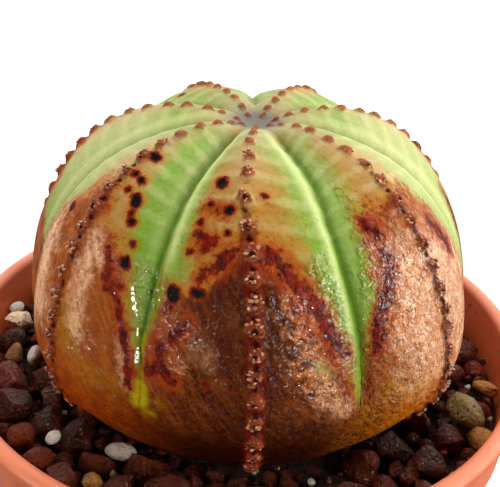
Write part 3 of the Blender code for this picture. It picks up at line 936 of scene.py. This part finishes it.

# strokes on the skin, each a width and the places it runs through: red streaks where the skin
# has split along the cork's edge, patches still wet, pale patches over the cork that are partly
# painted glare near its left and right edges, mustard and dusky patches, and one leaf-green patch
strokes = {
    "streak": (
        (1.7, (-86.4, 27.6), (-82.5, 28.6), (-79, 31), (-75.6, 33.2)),
        (1.7, (-78, 32), (-73.8, 34.8), (-70.6, 38), (-67.8, 40.4)),
        (1.1, (-94.5, 27.4), (-98.5, 29.2), (-102.4, 30.8)),
        (1.5, (-104.4, 25.6), (-102.6, 26.8), (-101, 26.2)),
        (1.2, (-104.6, 21.7), (-101, 22.3), (-97.8, 22.3)),
        (1.5, (-104.2, 36.6), (-107.8, 38.8)), (1.7, (-108.8, 40.2), (-110.8, 43.4)),
        (1.2, (-109.2, 42), (-106, 44)), (0.9, (-129.4, 30.6), (-126.2, 33.2), (-122.6, 36.2)),
        (0.85, (-122.6, 36), (-119.8, 39.4), (-118, 42.6), (-116.8, 46.8)),
        (1.5, (-59.4, 40.2), (-57.4, 36.5), (-54.7, 33.7), (-51.8, 30.7), (-52.4, 28.6)),
        (1.5, (-53.2, 27.2), (-52.8, 26), (-54.4, 25.4)), (1.8, (-30, 29), (-26, 33)),
        (1.8, (22, 28), (30, 34)), (2, (80, 27), (88, 34)), (1.8, (128, 27), (138, 35)),
        (1.8, (-196, 27), (-205, 34)), (1.3, (2, 31), (-1, 36), (1, 42)),
        (1.3, (50, 30), (46, 36), (48, 42)), (1.4, (104, 30), (107, 36), (105, 43)),
        (1.2, (146, 34), (149, 41)),
    ),
    "wet": (
        (1.8, (-57.2, 27.7), (-58.2, 30.7), (-59, 33.9)), (6.5, (-50, 32), (-46, 43)),
        (2.4, (-51.5, 28.6), (-53.2, 32.6), (-55.8, 36)), (6, (-40, 32), (-30, 44)),
        (2.2, (-71.8, 29), (-70.2, 32.1), (-68.5, 37), (-66.5, 42)),
        (3.4, (-80.5, 34), (-78, 38.6), (-75, 44)), (2, (-107.5, 36.5), (-101.5, 38)),
        (1.6, (-108, 40), (-104, 42)), (1.8, (-137, 34), (-134, 39)),
        (2, (-118.5, 31), (-114.5, 38)), (1.4, (-112.5, 31), (-111.5, 35)),
    ),
    # pale patches: partly the cork's own colour, partly painted glare near the left and right edges
    "pale": (
        (8, (-48, 32), (-44, 46)), (8, (-34, 34), (-28, 48)), (7, (-166, 27), (-152, 42)),
        (2.6, (-135, 30), (-132.5, 42)), (2.4, (-133, 30.4), (-129.5, 31.8)),
        (1.4, (-119.4, 41), (-117.8, 46.5)), (1.8, (-74.5, 42), (-71, 44.5)),
        (2.2, (-100.5, 38.5), (-98.5, 40.5)), (2.6, (-73, 45.5), (-66, 48)),
        (5, (-22, 28), (-16, 38)), (3.4, (14, 32), (20, 45)), (4, (64, 31), (70, 42)),
        (3, (120, 29), (113, 38)), (4, (158, 33), (150, 46)),
    ),
    "mustard": (
        (3.5, (-137, 41), (-133, 45)), (3, (-128, 47), (-118, 48)), (2.6, (-114.5, 46), (-112, 50)),
        (1.6, (-111, 48.5), (-109, 47.5)), (1.8, (-62.5, 47), (-62, 51)), (3, (-56, 47), (-46, 49)),
        (4, (2, 44), (10, 48)), (4.5, (88, 43), (98, 47)), (4, (134, 42), (142, 47)),
    ),
    "dusky": ((4.5, (-100.5, 32), (-97, 39)), (2.4, (-85, 31.5), (-85.5, 44))),
    "leaf": ((1.6, (-74.5, 41), (-71.6, 42.4)),),
}
# the yellow-green tip at the foot of the left furrow
tip_field = stroke(((-114.2, 46.6), (-114.1, 48.8)), 1.9)
tip_field = np.maximum(tip_field, 0.42 * stroke(((-114.4, 39), (-114.2, 47)), 0.9))
tip_field = np.maximum(tip_field, 0.45 * stroke(((-113.6, 50), (-110.6, 50)), 1.4))
seam_share = np.where(rib_of == 0, 1.0, 0.7)
lip_length = np.where((rib_of == 0) & (share_of < 0), 1 - rise(27, 34, along_of), 1.0)
lip_field = front_sides * lip_length * groove_share * np.exp(-(((from_furrow - 1.3) / 0.75) ** 2))
turned_by = (azimuth_of - front_crest + math.pi) % math.tau - math.pi
skin_fields = {
    "along": along_of,
    "flank": flank,
    "cork": cork_field,
    "green": green_field,
    "scab": scab_field,
    "knob": knob_share,
    "gap": gap_share,
    "lip": lip_field,
    "tip": tip_field,
    "band": band_field,
    "furrow": np.exp(-(from_furrow / 0.45) ** 2),
    "open": from_furrow,
    "seam": seam_share * rise(18, 26, along_of) * np.exp(-((share_of * half_of / 1.25) ** 2)),
    # side and facing tell how far the skin turns from the front rib to the left, right and back; the paint
    # uses them for painted light and shade
    "side": np.sin(turned_by),
    "facing": np.maximum(np.abs(np.sin(turned_by)), np.where(np.cos(turned_by) < 0.0, 0.6, 0.0)),
}
for name, rows in strokes.items():
    skin_fields[name] = np.max([stroke(places, width) for width, *places in rows], axis=0)

plant_skin, tree, shader = new_material("plant_skin")
place = millimetres(tree)
skin_map = put(tree, "ShaderNodeAttribute", attribute_name="skin_map").outputs["Vector"]
turned_map = put(tree, "ShaderNodeVectorRotate", {"Vector": skin_map, "Angle": 0.55}, rotation_type="Z_AXIS")


def field(name):
    return put(tree, "ShaderNodeAttribute", attribute_name=name).outputs["Fac"]


def signed_mottle(size, reach, detail=3.0):
    """Cloudy noise round zero, from about -reach to reach, to fray an edge."""
    return times(plus(mottled(place, size, 0.2, 0.8, detail), -0.5), 2.0 * reach)


def frayed(name, size, reach, detail=3.0):
    return plus(field(name), signed_mottle(size, reach, detail))


def stretched(vector, scale):
    return put(tree, "ShaderNodeVectorMath", {0: vector, 1: scale}, operation="MULTIPLY").outputs[0]


# living skin: pale and bloomy at the crown, olive along the crests, green beside the furrows, and
# painted paler on its left and right sides, as seen from the front, as a painted glare
along = field("along")
flank_share = field("flank")
aside = field("side")
facing = field("facing")
bands = mottled(stretched(skin_map, (0.2, 1, 1)), 1.2, 0.3, 0.7, 4)
stripes = mottled(stretched(skin_map, (1, 0.12, 1)), 1.1, 0.3, 0.7)
broad_stripes = mottled(stretched(skin_map, (1, 0.1, 1)), 2.4, 0.35, 0.65, 4)
patches = mottled(place, 4.5, 0.3, 0.7)
mid_patches = mottled(place, 1.7, 0.32, 0.68, 4)
fine_patches = mottled(place, 0.6, 0.3, 0.7, 5)
pale_grains = mottled(place, 0.34, 0.55, 0.7)
crown_skin = layers(
    mix(bands, (134, 136, 90), (152, 150, 110)),
    ((152, 126, 88), patches, 0.4),
    ((166, 140, 106), broad_stripes, 0.45),
    ((112, 108, 100), ramp(along, 5.5, 2)),
)
olive = layers(
    mix(patches, (134, 102, 18), (152, 126, 44)),
    ((136, 80, 14), mid_patches, 0.5),
    ((104, 62, 8), fine_patches, 0.45),
)
olive_at = plus(along, plus(signed_mottle(4, 4), times(flank_share, 8)))
green = layers(
    mix(ramp(along, 10, 36), (118, 144, 68), (84, 130, 6)),
    ((168, 182, 112), bands, 0.14),
    ((94, 136, 26), stripes, 0.35),
    ((160, 148, 100), broad_stripes, ramp(along, 30, 12), 0.35),
    ((76, 104, 24), fine_patches, 0.34),
    ((160, 184, 90), pale_grains, 0.18),
)
growth_line = ramp(frayed("band", 2, 0.4, 4), 0.4, 1.1)
# painted glare: the skin turned to the left and right, away from the front, is painted paler
side_glare_share = times(ramp(maths("ABSOLUTE", aside), 0.6, 1), ramp(along, 10, 17), ramp(along, 46, 26))
living_skin = layers(
    crown_skin,
    (olive, ramp(olive_at, 9, 20), 0.92),
    ((162, 126, 82), ramp(flank_share, 0.7, 0.1), ramp(along, 4, 12), 0.52, ramp(along, 26, 14, 0.4, 1)),
    (green, ramp(frayed("green", 2.2, 1.1), -2.8, 1.2), ramp(along, 4, 12)),
    ((198, 194, 146), growth_line, ramp(along, 34, 20), ramp(along, 5, 10), 0.2),
    ((198, 186, 148), side_glare_share, 0.36),
    ((178, 190, 132), field("lip"), ramp(along, 50, 26, 0.5, 0.75)),
    ((60, 100, 6), field("furrow"), ramp(along, 6, 14), 0.4),
)

# the cork creeps up in flecks and freckles before it closes: sparse above, dense at its edge
creeping = times(ramp(field("cork"), -8, 0.5), ramp(field("green"), -0.4, -3))
freckles = mottled(place, 0.36, 0.54, 0.64, 4)
blotches = ramp(plus(mottled(place, 2.6, 0.2, 0.8, 5), times(creeping, 0.75)), 0.75, 1.3)
blotches = times(blotches, ramp(creeping, 0, 0.3))
flecked_skin = layers(
    living_skin,
    ((104, 58, 18), mottled(place, 0.45, 0.6, 0.7), ramp(along, 12, 24), 0.45),
    ((142, 86, 14), blotches, 0.6),
    ((92, 28, 6), freckles, blotches, 0.7),
)


# cork: a brown crust of fine crossed wrinkles, rusty at its upper edge, darker low down, where
# painted shade makes the front near-black and a painted glow keeps the sides orange
def folds(vector, size, width):
    """Thin winding ridge lines, from 1 on a line to 0 at its width."""
    cloudy = put(tree, "ShaderNodeTexNoise", {"Vector": vector, "Scale": 1.0 / size, "Detail": 2})
    return ramp(maths("ABSOLUTE", plus(cloudy.outputs[0], -0.5)), width, 0)


def net(vector, size, width):
    """A net of ridges round cells of a given size, from 1 on a ridge down to 0 at its width."""
    inputs = {"Vector": vector, "Scale": 1.0 / size}
    cells = put(tree, "ShaderNodeTexVoronoi", inputs, feature="DISTANCE_TO_EDGE")
    return ramp(cells.outputs["Distance"], width, 0)


swirl = put(tree, "ShaderNodeTexNoise", {"Vector": place, "Scale": 1.1, "Detail": 2}).outputs[1]
swirl_inputs = {0: swirl, 1: (1.3, 1.3, 1.3), 2: place}
swirled = put(tree, "ShaderNodeVectorMath", swirl_inputs, operation="MULTIPLY_ADD").outputs[0]
wrinkle = higher(folds(stretched(skin_map, (1, 0.45, 1)), 0.75, 0.12), times(folds(place, 0.62, 0.11), 0.6))
wrinkle = higher(wrinkle, net(swirled, 0.8, 0.16))
wrinkle = plus(times(wrinkle, 0.6), times(mottled(place, 0.42, 0.25, 0.75), 0.4))
crust = mottled(place, 1, 0.3, 0.7, 2)
grains = mottled(place, 0.3, 0.56, 0.7)
fan = mottled(stretched(turned_map.outputs[0], (1, 0.14, 1)), 0.8, 0.42, 0.62, 4)
wet_share = ramp(frayed("wet", 2.2, 0.3), 0, 0.7)
pale_and_glare_share = ramp(frayed("pale", 1.8, 0.35, 4), 0.05, 0.95)
pale_and_glare_share = times(pale_and_glare_share, ramp(plus(wrinkle, crust), 0.2, 1.3, 0.15, 0.75))
# the cork is painted lighter where it turns away from the front, oranger on the left and pinker on the
# right, and so are its ridges, grains and fan lines: painted light from the sides and back
brown = layers(
    mix(patches, (36, 5, 1), (58, 14, 2)),
    ((40, 6, 1), mid_patches, 0.55),
    ((104, 36, 5), mottled(place, 3.1, 0.45, 0.75, 4), 0.22),
    (mix(ramp(aside, -0.5, 0.5), (178, 92, 18), (186, 118, 66)), ramp(facing, 0.1, 0.9, 0, 0.52)),
    ((150, 70, 22), ramp(wrinkle, 0.45, 0.95), ramp(facing, 0, 0.6, 0.22, 0.5)),
    ((32, 6, 1), ramp(wrinkle, 0.36, 0.02, 0, 0.35)),
    ((84, 30, 9), mottled(place, 6.5, 0.42, 0.6, 4), ramp(facing, 0.2, 0.7), 0.5),
    ((172, 92, 42), grains, ramp(facing, 0, 0.6, 0.16, 0.36)),
    # painted glare: the pale patches turn paler and pinker where the cork faces to the sides
    (mix(ramp(facing, 0.05, 0.5), (164, 88, 28), (240, 200, 166)), pale_and_glare_share),
    ((166, 92, 20), fan, ramp(facing, 0.05, 0.4, 0.1, 0.42)),
    ((172, 96, 34), wet_share, ramp(crust, 0.2, 0.8), 0.68),
    ((52, 10, 2), ramp(frayed("dusky", 2.4, 0.4, 4), 0, 0.9), 0.6),
    ((150, 110, 4), ramp(frayed("mustard", 2, 0.3, 4), 0.15, 0.9), 0.4),
)
fray = plus(signed_mottle(3.2, 1.6, 4), signed_mottle(0.8, 0.8, 4))
cork_at = plus(field("cork"), times(fray, ramp(field("open"), 0.5, 6, 0.3, 1)))
# low down: painted shade makes the front near-black, and a painted glow makes the sides orange, brightest on
# the right
low_shade_and_glow = layers(
    mix(ramp(aside, -0.5, 0.5), (150, 62, 2), (182, 104, 8)),
    ((26, 3, 1), ramp(facing, 0.75, 0.2)),
    ((40, 8, 1), mid_patches, 0.5),
)
# dark specks low down, more of them at the front
low_specks = times(mottled(place, 0.55, 0.5, 0.64, 4), ramp(along, 40, 47))
corky_skin = layers(
    flecked_skin,
    ((164, 88, 8), ramp(cork_at, -2.4, -0.3, 0, 0.55), ramp(field("green"), 0.2, -2, 0.35, 1)),
    (brown, ramp(cork_at, -0.9, 0.9)),
    ((118, 24, 2), ramp(maths("ABSOLUTE", plus(cork_at, -0.6)), 1.6, 0.2), mid_patches, 0.7),
    # painted shade and glow, taking over towards the foot
    (low_shade_and_glow, ramp(plus(along, signed_mottle(3, 2)), 44, 53.5), 0.95),
    ((62, 14, 3), low_specks, ramp(facing, 0.3, 0.8, 0.6, 0.15)),
    ((156, 152, 84), ramp(frayed("leaf", 1.2, 0.4, 4), 0.1, 0.9), mid_patches, 0.6),
    ((146, 132, 4), ramp(frayed("tip", 1.4, 0.06), 0.1, 0.7)),
    ((60, 30, 16), ramp(along, 60, 66)),
)

# marks: streaks, scabs, the reddish feet of the knobs, and painted shade in the hollows and pits
# between them
streak_at = plus(field("streak"), plus(signed_mottle(1.6, 0.35, 4), signed_mottle(0.8, 0.2, 2)))
blood = mix(mottled(place, 0.9, 0.35, 0.65, 4), (44, 1, 2), (108, 11, 3))
scab_at = plus(field("scab"), plus(signed_mottle(0.9, 0.16), signed_mottle(0.35, 0.07, 2)))
knob_flecks = mottled(place, 0.6, 0.42, 0.56, 4)
knob_colour = layers(
    mix(ramp(along, 12, 26), (150, 58, 16), (128, 48, 22)),
    ((74, 13, 5), knob_flecks, 0.75),
    ((182, 108, 66), fine_patches, 0.4),
)
knob_at = frayed("knob", 0.8, 0.25)
gap_shade_at = frayed("gap", 0.9, 0.2)
marked_skin = layers(
    corky_skin,
    ((92, 14, 2), ramp(frayed("seam", 1.1, 0.3, 4), 0.25, 0.8, 0, 0.8)),
    ((134, 48, 6), ramp(streak_at, -0.5, 0.2, 0, 0.65)),
    (blood, ramp(streak_at, 0.2, 0.65), 0.95),
    ((152, 78, 10), ramp(scab_at, -1, -0.2, 0, 0.65), ramp(cork_at, 1.5, -1.5, 0.15, 1)),
    ((92, 16, 2), ramp(scab_at, -0.5, -0.1)),
    ((8, 6, 8), ramp(scab_at, -0.1, 0.1)),
    ((84, 72, 72), mottled(place, 0.3, 0.6, 0.7), ramp(scab_at, 0, 0.15), 0.4),
    (knob_colour, ramp(knob_at, 0.15, 0.6, 0, 0.85)),
    # painted shade in the hollows and pits by the knobs
    ((30, 2, 2), ramp(gap_shade_at, 0.2, 0.65, 0, 0.95)),
)

# the skin's wetness, its relief, and the water film over it that fills the finest wrinkles
damp = mottled(place, 5, 0.5, 0.7)
coated = times(ramp(cork_at, -2.5, 1, 0.15, 0.6), plus(times(damp, 0.85), 0.15))
coated = times(
    higher(coated, wet_share),
    times(ramp(knob_at, 0.1, 0.5, 1, 0.3), ramp(scab_at, -0.1, 0.1, 1, 0.35)),
    times(ramp(gap_shade_at, 0.1, 0.5, 1, 0.1), ramp(along, 46, 55, 1, 0.4)),
)
relief_share = higher(ramp(cork_at, -2.5, 1, 0.12, 1), times(wet_share, 0.8))
coarse = higher(higher(wet_share, ramp(field("pale"), 0, 0.4)), ramp(aside, 0.1, 0.5))
under = bump(plus(times(bands, 0.5), times(stripes, 0.3)), 0.00016, 0.5)
under = bump(times(mottled(place, 1.7, 0.2, 0.8, 2), relief_share), 0.0004, 0.7, under)
under = bump(times(crust, coarse, relief_share), 0.00035, 0.8, under)
under = bump(times(knob_flecks, ramp(knob_at, 0.1, 0.5)), 0.00025, 0.8, under)
wrinkle_height = times(wrinkle, ramp(wet_share, 0, 1, 0.4, 1), relief_share)
swells = mottled(stretched(turned_map.outputs[0], (1, 0.5, 1)), 0.62, 0.2, 0.8, 0.5)
film = plus(times(swells, 0.75), times(net(swirled, 1.3, 0.4), 0.35))
feed(shader, {
    "Base Color": marked_skin,
    "Roughness": 0.5,
    "IOR": 1.45,
    "Specular IOR Level": 0.06,
    "Normal": bump(wrinkle_height, 0.00018, 0.9, under),
    "Coat Roughness": 0.09,
    "Coat IOR": 1.5,
    "Coat Weight": times(coated, ramp(film, 0.32, 0.62, 0.16, 1)),
    "Coat Normal": bump(times(film, relief_share), 0.0003, 0.9, under),
})

plant_body = new_piece("plant_body", skin_points * MM, skin_faces, plant_skin)
for name, values in skin_fields.items():
    flat = np.concatenate([values.reshape(-1), [values[0].mean(), values[-1].mean()]])
    attribute = plant_body.data.attributes.new(name, "FLOAT", "POINT")
    attribute.data.foreach_set("value", flat.astype(np.float32))
flat_map = np.stack([azimuth_of * map_radius, along_of, np.zeros(rib_of.shape)], axis=-1)
flat_map = np.concatenate([flat_map.reshape(-1, 3), [(0.0, 0.0, 0.0), (0.0, crest_length, 0.0)]])
attribute = plant_body.data.attributes.new("skin_map", "FLOAT_VECTOR", "POINT")
attribute.data.foreach_set("vector", flat_map.astype(np.float32).reshape(-1))
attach(plant_body, "root")
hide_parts("plant")


# Flower scars: the dry star-shaped stump of an old flower stalk sits on each knob, a broken
# cream ring of cork round a dark hole. They grew there and are fused to the skin.
def around(azimuth, out_r, out_z):
    """A direction at an azimuth, from its shares outward and upward."""
    return Vector((out_r * math.cos(azimuth), out_r * math.sin(azimuth), out_z))


def crest_place(rib, along, raised):
    """Place in millimetres on a rib's crest, and the directions outward and downward there."""
    stray = float(along_curve(crest_strays[rib_names[rib]], along))
    azimuth = front_crest + (2.0 * rib + stray) * math.pi / ribs
    radius, height = on_crest(crest_radius, along), on_crest(crest_height, along)
    step_r = on_crest(crest_radius, along + slope_step) - radius
    step_z = on_crest(crest_height, along + slope_step) - height
    length = math.hypot(step_r, step_z)
    outward = around(azimuth, -step_z / length, step_r / length)
    downward = around(azimuth, step_r, step_z) / length
    place = around(azimuth, radius, height) + Vector((*plant_centre, 0.0))
    return place + outward * raised, outward, downward


scar_cork, tree, shader = new_material("scar_cork")
place = millimetres(tree)
rust_share = maths("MULTIPLY", field("shade"), 1.0, clamp=True)
feed(shader, {
    "Base Color": layers(
        mix(rust_share, (206, 154, 114), (104, 32, 16)),
        ((104, 36, 16), mottled(place, 0.5, 0.4, 0.65, 4), 0.6),
        ((224, 200, 160), mottled(place, 0.3, 0.6, 0.72), ramp(rust_share, 0.9, 0.1)),
    ),
    "Roughness": 0.36,
    "Normal": bump(mottled(place, 0.25, 0.2, 0.8, 4), 0.00015, 0.9),
})

scars = Heap()
dry = random.Random(31)
front_ribs = (0, 1, 6)
first_scar, last_scar = 4.0, 57.0
for rib in range(ribs):
    for along in knob_rows[rib_names[rib]]:
        if not first_scar <= along <= last_scar:
            continue
        grown = (0.55 + 0.45 * float(rise(6, 20, along))) * (1.0 if rib in front_ribs else 0.72)
        grown *= 1.2 if rib == 0 and along > larger_from else 1.0
        size = grown * dry.uniform(0.85, 1.15)
        raised = 0.5 * grown + 0.2 * float(rise(8, 20, along))
        centre, outward, downward = crest_place(rib, along, raised)
        across = outward.cross(downward)
        young = 1 - float(rise(12, 19, along))
        low = float(rise(38, 52, along))
        crumbs = dry.randint(9, 13) if rib in front_ribs else dry.randint(5, 7)
        turn = dry.uniform(0.0, math.tau)
        for crumb in range(crumbs):
            a = turn + math.tau * (crumb + dry.uniform(-0.4, 0.4)) / crumbs
            reach = dry.uniform(0.28, 0.8) * size
            radius = dry.uniform(0.13, 0.29) * size * (1 - 0.2 * young)
            sideways = across * math.cos(a) + downward * math.sin(a) * 1.15
            spot = centre + sideways * reach + outward * dry.uniform(-0.04, 0.1) * size
            stretch = (dry.uniform(0.8, 1.6), dry.uniform(0.5, 1.0), dry.uniform(0.5, 0.9))
            points, faces = stone_points(dry, radius, stretch, 2, facets=5, roughness=0.22)
            tint = 0.25 * young + dry.choice((0.0, 0.2, 0.5, 0.8, 1.0)) + 0.1 * low
            scars.add(points, faces, spot, tint)
scars.make("flower_scars", scar_cork, "plant_skin")


# Water: a thin bead of it lies in the left furrow, and small drops stand on the wet cork, where
# the last watering left them. It is clear, and clings to the finished skin.
clear_water, tree, shader = new_material("clear_water")
feed(shader, {
    "Base Color": (1.0, 1.0, 1.0, 1.0),
    "Roughness": 0.02,
    "IOR": 1.33,
    "Transmission Weight": 1.0,
    "Coat Weight": 1.0,
})


def on_skin(azimuth, along):
    """A place on the finished skin in millimetres and its outward direction."""
    across, down = surface_distance(azimuth, along)
    close = np.exp(-(across ** 2 + down ** 2) / 0.55 ** 2)
    close /= close.sum()
    out_r, out_z = float((normal_r * close).sum()), float((normal_z * close).sum())
    place = Vector([float((axis * close).sum()) for axis in (skin_x, skin_y, skin_z)])
    return place, around(math.radians(azimuth), out_r, out_z).normalized()


# the bead's cross-section: share of the half width across, and height above the skin
bead_section = ((-1.0, -0.2), (-0.62, 0.5), (0.62, 0.5), (1.0, -0.2), (0.4, -0.6), (-0.4, -0.6))
bead_turn = math.radians(-119.3)


def water_bead(places, half_width, swell, steps=28):
    """A bead of water that lies along the skin, stands out more at its foot and thins at its ends."""
    centres, outs = [], []
    stations = np.linspace(0.0, len(places) - 1.0, steps)
    for station in stations:
        azimuth, along = (float(np.interp(station, range(len(places)), axis)) for axis in zip(*places))
        place, outward = on_skin(azimuth, along)
        centres.append(place + outward * swell * station / stations[-1])
        outs.append(around(bead_turn, math.hypot(outward.x, outward.y), outward.z))
    rings = []
    for step in range(steps):
        ahead = centres[min(step + 1, steps - 1)] - centres[max(step - 1, 0)]
        across = outs[step].cross(ahead.normalized()).normalized()
        ends = math.sin(math.pi * (step + 0.5) / steps) ** 0.35
        girth = half_width * ends * (1 + 0.12 * math.sin(step * 1.1))
        spreads = [across * sideways + outs[step] * (high + 0.2) for sideways, high in bead_section]
        rings.append([tuple(centres[step] + spread * girth) for spread in spreads])
    return closed_skin(rings[::-1], centres[-1], centres[0])


water = Heap()
# the beads: half width, how far the foot stands out, and the places that each runs through
beads = (
    (0.28, 0, (-119.6, 33.6), (-119, 34.8), (-117.9, 36.4), (-116.5, 38)),
    (0.26, 0.12, (-116.3, 38.6), (-115.8, 39.8)),
    (0.3, 0.45, (-115.5, 41), (-115.1, 43.2)),
)
for half_width, swell, *places in beads:
    points, faces = water_bead(places, half_width, swell)
    water.add(points, faces, (0.0, 0.0, 0.0), 0.0)
drops = random.Random(5)
# where drops stand: from and to in azimuth, from and to in distance from the crown, how many
drop_areas = (
    (-118, -114, 30.5, 35, 12),
    (-109, -101, 35.5, 42, 16),
    (-136, -121, 34, 44, 10),
    (-84, -70, 32, 45, 26),
    (-62, -44, 28, 44, 26),
)
for first, last, high, low, count in drop_areas:
    for _ in range(count):
        place, outward = on_skin(drops.uniform(first, last), drops.uniform(high, low))
        radius = drops.uniform(0.1, 0.26)
        directions, faces = balls[2]
        lie = outward.to_track_quat("Z", "Y").to_matrix()
        flat = np.array(lie @ Matrix.Diagonal((radius, radius * drops.uniform(0.8, 1.3), radius * 0.55)))
        water.add(directions @ flat.T, faces, place + outward * radius * 0.15, 0.0)
water.make("water_beads", clear_water, "plant_skin")
